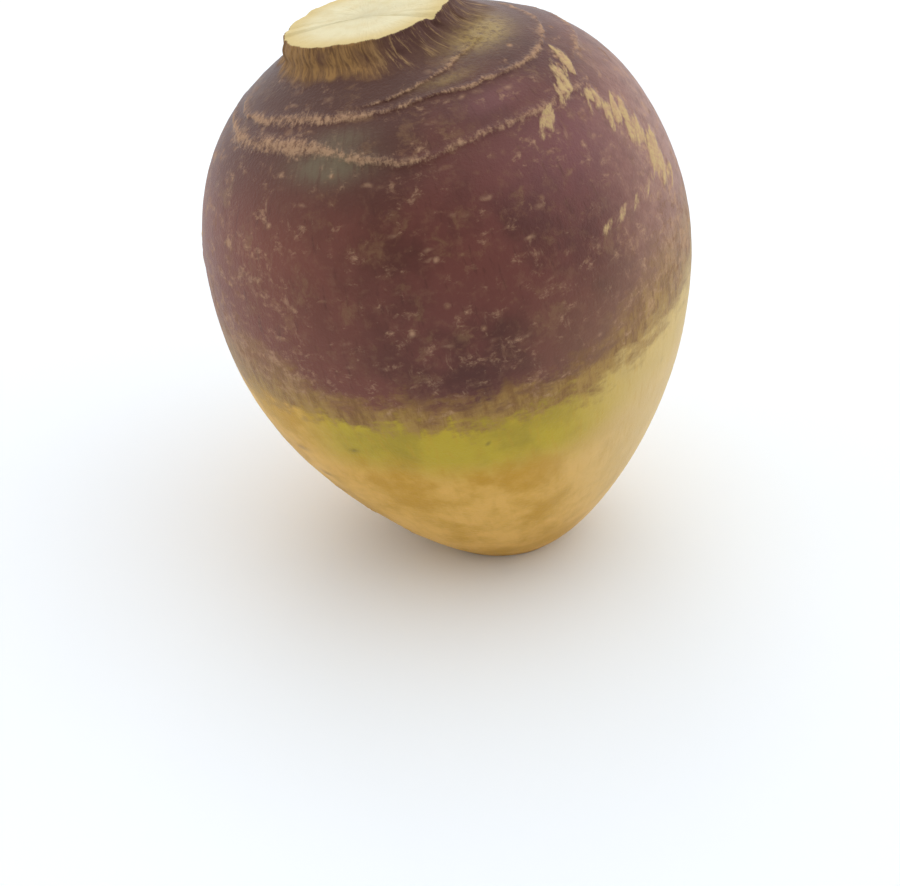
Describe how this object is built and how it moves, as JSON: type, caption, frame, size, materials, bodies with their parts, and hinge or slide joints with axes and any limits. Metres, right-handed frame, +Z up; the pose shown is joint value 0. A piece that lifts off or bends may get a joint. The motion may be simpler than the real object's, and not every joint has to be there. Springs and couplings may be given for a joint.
{
  "type": "rutabaga",
  "caption": "Whole rutabaga (swede) root with leaf-scar rings and a short trimmed neck on its crown, leaning a little as it rests on its small flat root cut.",
  "frame": {"origin": "middle of the bounding box in X and Y, on the surface that the root rests on", "axes": "+Z up, +X to the right seen from the front (-Y); the crown leans about 14 degrees towards -X and 7 degrees towards +Y"},
  "size_m": [0.1206, 0.1208, 0.1407],
  "materials": {
    "skin": "satin root skin, purple above and yellow below, with tan corky scars and cream flesh on the two cut faces"
  },
  "bodies": {
    "root": {"rutabaga": "skin"}
  },
  "joints": []
}
